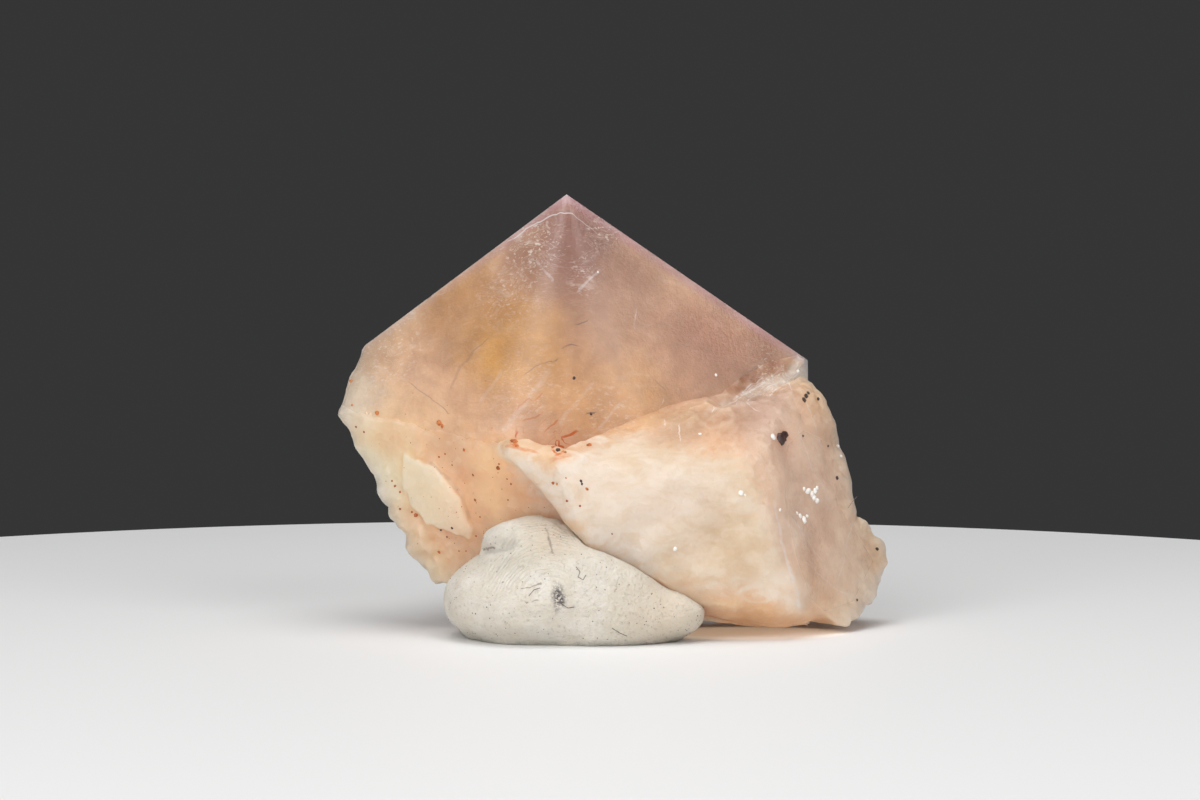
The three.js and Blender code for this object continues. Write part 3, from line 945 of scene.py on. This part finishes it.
# node groups for the grains, crumbs and lint on the crystal and the putty
def newGroup(name, sockets, out):
    tree = bpy.data.node_groups.new(name, "GeometryNodeTree")
    for label, kind in sockets:
        tree.interface.new_socket(label, in_out="INPUT", socket_type="NodeSocket" + kind)
    tree.interface.new_socket(out, in_out="OUTPUT", socket_type="NodeSocketGeometry")
    return tree, addNode(tree, "NodeGroupInput").outputs, addNode(tree, "NodeGroupOutput").inputs[out]


def roughBall(tree, start, levels):
    ball = addNode(tree, "GeometryNodeMeshIcoSphere", {"Radius": 1.0, "Subdivisions": levels}).outputs["Mesh"]
    place = addNode(tree, "GeometryNodeInputPosition").outputs[0]
    push = addNode(tree, "ShaderNodeTexNoise", {"Vector": place, "Scale": 1.4, "Detail": 2.0}).outputs["Color"]
    push = scaled(tree, doVector(tree, "SUBTRACT", push, (0.5, 0.5, 0.5)), start["Jaggedness"])
    return addNode(tree, "GeometryNodeSetPosition", {"Geometry": ball, "Offset": push}).outputs["Geometry"]


def randomBetween(tree, low, high, seed):
    return addNode(tree, "FunctionNodeRandomValue", {2: low, 3: high, "Seed": seed}, data_type="FLOAT").outputs[1]


def standUp(tree, points, grain, turn, size, start):
    angle = randomBetween(tree, 0.0, math.tau, start["Seed"])
    spin = addNode(tree, "FunctionNodeAxisAngleToRotation", {"Angle": angle}).outputs[0]
    turns = {"Rotation": turn, "Rotate By": spin}
    turn = addNode(tree, "FunctionNodeRotateRotation", turns, rotation_space="LOCAL")
    wide = doMath(tree, "MULTIPLY", size, randomBetween(tree, 0.6, 1.3, 5))
    flat = doMath(tree, "MULTIPLY", size, start["Flatness"])
    shape = addNode(tree, "ShaderNodeCombineXYZ", {"X": wide, "Y": size, "Z": flat}).outputs[0]
    inputs = {"Points": points, "Instance": grain, "Rotation": turn.outputs[0], "Scale": shape}
    made = addNode(tree, "GeometryNodeInstanceOnPoints", inputs).outputs["Instances"]
    made = addNode(tree, "GeometryNodeRealizeInstances", {"Geometry": made}).outputs["Geometry"]
    return withMaterial(tree, made, start)


def withMaterial(tree, made, start):
    inputs = {"Geometry": made, "Material": start["Material"]}
    return addNode(tree, "GeometryNodeSetMaterial", inputs).outputs["Geometry"]


def attributeOf(tree, name, kind):
    made = addNode(tree, "GeometryNodeInputNamedAttribute", {"Name": name}, data_type=kind)
    return made.outputs["Attribute"]


# one grain on each given point
def placedGrains():
    sockets = (
        ("Points", "Geometry"), ("Jaggedness", "Float"), ("Flatness", "Float"), ("Seed", "Int"),
        ("Material", "Material"),
    )
    tree, start, end = newGroup("placed grains", sockets, "Grains")
    facing = attributeOf(tree, "facing", "FLOAT_VECTOR")
    size = attributeOf(tree, "size", "FLOAT")
    turn = addNode(tree, "FunctionNodeAlignRotationToVector", {"Vector": facing}, axis="Z").outputs[0]
    plug(tree, end, standUp(tree, start["Points"], roughBall(tree, start, 2), turn, size, start))
    return tree


# grains strewn over a surface round a centre
def strewnGrains():
    sockets = (
        ("Surface", "Geometry"), ("Per area", "Float"), ("Centre", "Vector"), ("Reach", "Float"), ("Size", "Float"),
        ("Jaggedness", "Float"), ("Flatness", "Float"), ("Seed", "Int"), ("Material", "Material"),
    )
    tree, start, end = newGroup("strewn grains", sockets, "Grains")
    place = addNode(tree, "GeometryNodeInputPosition").outputs[0]
    away = lengthOf(tree, doVector(tree, "SUBTRACT", place, start["Centre"]))
    inputs = {"Value": away, "From Min": 0.0, "From Max": start["Reach"], "To Min": 1.0, "To Max": 0.0}
    share = addNode(tree, "ShaderNodeMapRange", inputs).outputs["Result"]
    density = doMath(tree, "MULTIPLY", share, start["Per area"])
    inputs = {"Mesh": start["Surface"], "Density": density, "Seed": start["Seed"]}
    spread = addNode(tree, "GeometryNodeDistributePointsOnFaces", inputs, distribute_method="RANDOM").outputs
    size = doMath(tree, "MULTIPLY", start["Size"], randomBetween(tree, 0.4, 1.0, 9))
    grain = roughBall(tree, start, 1)
    plug(tree, end, standUp(tree, spread["Points"], grain, spread["Rotation"], size, start))
    return tree


# thin threads along edges
def threads():
    sockets = (("Path", "Geometry"), ("Radius", "Float"), ("Material", "Material"))
    tree, start, end = newGroup("threads", sockets, "Threads")
    curve = addNode(tree, "GeometryNodeMeshToCurve", {"Mesh": start["Path"]}).outputs["Curve"]
    circle = {"Resolution": 5, "Radius": start["Radius"]}
    ring = addNode(tree, "GeometryNodeCurvePrimitiveCircle", circle).outputs["Curve"]
    inputs = {"Curve": curve, "Profile Curve": ring, "Fill Caps": True}
    tube = addNode(tree, "GeometryNodeCurveToMesh", inputs).outputs["Mesh"]
    plug(tree, end, withMaterial(tree, tube, start))
    return tree


def runGroup(name, data, tree, values):
    made = bpy.data.objects.new(name, data)
    scene.collection.objects.link(made)
    modifier = made.modifiers.new(name, "NODES")
    modifier.node_group = tree
    for item in tree.interface.items_tree:
        if item.in_out == "INPUT" and item.name in values:
            modifier[item.identifier] = values[item.name]
    made.data = plainMesh(made)
    made.modifiers.clear()
    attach(made, "root")
    return made


def pointMesh(skin, spots):
    hits = [(onSurface(skin, spot[:2]), spot[2]) for spot in spots]
    hits = [(hit, normal, size) for (hit, normal), size in hits if hit]
    data = bpy.data.meshes.new("points")
    data.from_pydata([hit for hit, _, _ in hits], [], [])
    facing = [c for _, normal, _ in hits for c in normal]
    data.attributes.new("facing", "FLOAT_VECTOR", "POINT").data.foreach_set("vector", facing)
    data.attributes.new("size", "FLOAT", "POINT").data.foreach_set("value", [size * mm for _, _, size in hits])
    return data


def threadMesh(skin, lines, lift):
    points, edges = [], []
    for line in lines:
        hits = [onSurface(skin, pixel) for pixel in line]
        hits = [(hit, normal) for hit, normal in hits if hit]
        for i, (hit, normal) in enumerate(hits):
            points.append(hit + normal * lift * mm)
            if i:
                edges.append((len(points) - 2, len(points) - 1))
    data = bpy.data.meshes.new("lines")
    data.from_pydata(points, edges, [])
    return data


def grainMaterial(name, dark, light, rough):
    material, tree, shader, _ = newMaterial(name)
    tone = noiseAt(tree, placeInMm(tree), 2.5, 4, 0.6)
    plug(tree, shader.inputs["Base Color"], mixColour(tree, fade(tree, tone, 0.35, 0.65), dark, light))
    shader.inputs["Roughness"].default_value = rough
    return material


# grains and crumbs: pixel of the photograph, and half width in mm
debris = {
    "rust": (
        (439, 423, 0.30), (442, 426, 0.18), (377, 413, 0.24), (352, 405, 0.12), (356, 427, 0.13), (364, 432, 0.11),
        (464, 450, 0.16), (445, 454, 0.13), (439, 457, 0.10), (452, 465, 0.10), (498, 468, 0.24), (499, 464, 0.12),
        (473, 475, 0.15), (507, 479, 0.10), (511, 484, 0.10), (475, 500, 0.15), (508, 500, 0.10), (480, 517, 0.10),
        (439, 552, 0.20), (447, 537, 0.13), (466, 551, 0.10), (459, 551, 0.09), (476, 536, 0.13), (400, 492, 0.15),
        (392, 481, 0.12), (395, 486, 0.12), (400, 509, 0.12), (416, 515, 0.22), (412, 512, 0.14), (553, 483, 0.16),
        (557, 484, 0.18), (587, 489, 0.14), (566, 478, 0.10), (567, 501, 0.17), (580, 506, 0.13), (612, 534, 0.08),
        (589, 445, 0.26), (514, 441, 0.30), (517, 446, 0.22), (553, 447, 0.20), (565, 452, 0.18), (351, 381, 0.22),
    ),
    "dark": (
        (781, 439, 0.62), (784, 435, 0.45), (806, 396, 0.24), (804, 400, 0.24), (808, 393, 0.2), (818, 399, 0.18),
        (803, 436, 0.13), (828, 446, 0.14), (837, 478, 0.18), (877, 549, 0.20), (857, 600, 0.15), (441, 530, 0.14),
        (452, 528, 0.14), (581, 481, 0.18), (582, 484, 0.12), (574, 378, 0.16), (591, 414, 0.17), (558, 450, 0.28),
    ),
    "crumbs": (
        (804, 489, 0.22), (808, 491, 0.28), (812, 494, 0.30), (815, 491, 0.25), (817, 488, 0.20), (814, 498, 0.28),
        (817, 501, 0.28), (800, 516, 0.28), (804, 520, 0.34), (807, 516, 0.18), (797, 513, 0.18), (700, 434, 0.18),
        (741, 493, 0.26), (745, 495, 0.15), (780, 510, 0.15), (675, 549, 0.20), (773, 437, 0.36), (798, 371, 0.18),
        (838, 446, 0.20), (841, 456, 0.18), (750, 392, 0.10), (598, 272, 0.12), (716, 375, 0.16), (779, 375, 0.12),
    ),
    # strewn round a pixel: grains to a square metre, reach and size in mm
    "dust": {"at": (450, 500), "perArea": 0.38e6, "reach": 16.0, "size": 0.07, "flatness": 0.3, "seed": 12},
    "specks": {
        "puttySpecks": {"at": (540, 585), "perArea": 0.55e6, "reach": 22.0, "size": 0.075, "flatness": 0.5, "seed": 4},
        "puttyEndSpecks": {"at": (670, 618), "perArea": 1.6e6, "reach": 7.0, "size": 0.075, "flatness": 0.5, "seed": 8},
    },
    "lint": (
        ((576, 567), (580, 572), (578, 577), (583, 580), (586, 575)), ((560, 603), (568, 608), (574, 607)),
        ((612, 628), (620, 633), (627, 636)), ((455, 572), (460, 568), (466, 569)),
        ((540, 588), (534, 590), (529, 596)),
    ),
    "hair": ((848, 508), (1.0, -0.2, 1.6), 1.7),  # pixel of the root, way it points, length in mm
}


def strewnValues(skin, look, material):
    return {
        "Per area": look["perArea"], "Centre": onSurface(skin, look["at"])[0], "Reach": look["reach"] * mm,
        "Size": look["size"] * mm, "Jaggedness": 1.0, "Flatness": look["flatness"], "Seed": look["seed"],
        "Material": material,
    }


def buildDebris():
    puttySkin = skinOf(putty.data)
    rust = grainMaterial("rust", (0.28, 0.055, 0.015, 1), (0.62, 0.20, 0.05, 1), 0.7)
    dark = grainMaterial("dark mineral", (0.025, 0.014, 0.012, 1), (0.09, 0.03, 0.02, 1), 0.45)
    white = grainMaterial("white crumb", (0.80, 0.74, 0.68, 1), (0.92, 0.90, 0.87, 1), 0.6)
    grey = grainMaterial("grey lint", (0.10, 0.09, 0.085, 1), (0.22, 0.19, 0.17, 1), 0.8)
    grains = placedGrains()
    strewn = strewnGrains()
    thread = threads()
    for name, material, flatness in (("rust", rust, 0.3), ("dark", dark, 0.6), ("crumbs", white, 0.55)):
        values = {"Jaggedness": 1.1, "Flatness": flatness, "Seed": 3, "Material": material}
        runGroup(name + "Grains", pointMesh(crystalSkin, debris[name]), grains, values)
    values = strewnValues(crystalSkin, debris["dust"], rust)
    runGroup("rustDust", crystal.data.copy(), strewn, values)
    for name, look in debris["specks"].items():
        values = strewnValues(puttySkin, look, grey)
        runGroup(name, putty.data.copy(), strewn, values)
    values = {"Radius": 0.035 * mm, "Material": grey}
    runGroup("puttyLint", threadMesh(puttySkin, debris["lint"], 0.03), thread, values)
    pixel, way, length = debris["hair"]
    root = onSurface(crystalSkin, pixel)[0]
    way = Vector(way).normalized() * length * mm
    bend = Vector((0, 0, 0.25 * mm))
    data = bpy.data.meshes.new("hair")
    points = [root + way * t - bend * t * t for t in (-0.05, 0.25, 0.5, 0.75, 1.0)]
    data.from_pydata(points, [(i, i + 1) for i in range(len(points) - 1)], [])
    runGroup("strayHair", data, thread, {"Radius": 0.02 * mm, "Material": grey})


buildDebris()
print("debris: grains, crumbs, specks and lint")

# floor and light
studio = {
    "floorRadius": 125.0,  # mm
    "floorCentre": (-5.0, 8.0),
    "background": (0.036, 0.036, 0.037, 1),
    "lamps": {
        "key": {"place": (-260, -460, 420), "size": 420, "power": 1.95},
        "top": {"place": (40, -40, 560), "size": 520, "power": 2.15},
        "fill": {"place": (360, -460, 300), "size": 420, "power": 1.4},
        "low": {"place": (-320, -470, 110), "size": 300, "power": 0.9},
    },
    # light that has come through the crystal onto the floor below its overhang: ellipses in mm
    "glow": {"place": (13, -5, 0.5), "sizes": ((8, 5), (14, 8), (20, 11)), "power": 0.75e-6,
             "colour": (1.0, 0.77, 0.54)},
}


def buildStudio():
    mesh = bmesh.new()
    bmesh.ops.create_cone(
        mesh, cap_ends=True, segments=160, radius1=studio["floorRadius"] * mm,
        radius2=studio["floorRadius"] * mm, depth=6 * mm,
    )
    x, y = studio["floorCentre"]
    bmesh.ops.translate(mesh, verts=mesh.verts, vec=Vector((x, y, -3.0)) * mm)
    data = bpy.data.meshes.new("floor")
    mesh.to_mesh(data)
    mesh.free()
    floor = bpy.data.objects.new("floor", data)
    scene.collection.objects.link(floor)
    material, _, shader, _ = newMaterial("pale floor")
    shader.inputs["Base Color"].default_value = (0.80, 0.80, 0.80, 1)
    shader.inputs["Roughness"].default_value = 0.6
    data.materials.append(material)

    for name, lamp in studio["lamps"].items():
        light = bpy.data.lights.new(name, "AREA")
        light.shape = "DISK"
        light.size = lamp["size"] * mm
        light.energy = lamp["power"]
        holder = bpy.data.objects.new(name, light)
        holder.location = Vector(lamp["place"]) * mm
        aim = Vector((0, 0, 18)) * mm - holder.location
        holder.rotation_euler = aim.to_track_quat("-Z", "Y").to_euler()
        scene.collection.objects.link(holder)

    glow = studio["glow"]
    for wide, deep in glow["sizes"]:
        light = bpy.data.lights.new("glow", "AREA")
        light.shape = "ELLIPSE"
        light.size = wide * mm
        light.size_y = deep * mm
        light.energy = glow["power"] * wide * deep
        light.color = glow["colour"]
        holder = bpy.data.objects.new("glow", light)
        holder.location = Vector(glow["place"]) * mm
        scene.collection.objects.link(holder)

    world = bpy.data.worlds.new("studio")
    world.use_nodes = True
    world.node_tree.nodes["Background"].inputs["Color"].default_value = studio["background"]
    scene.world = world
    scene.view_settings.view_transform = "Standard"


buildStudio()
print("studio: floor and", len(studio["lamps"]), "lamps")
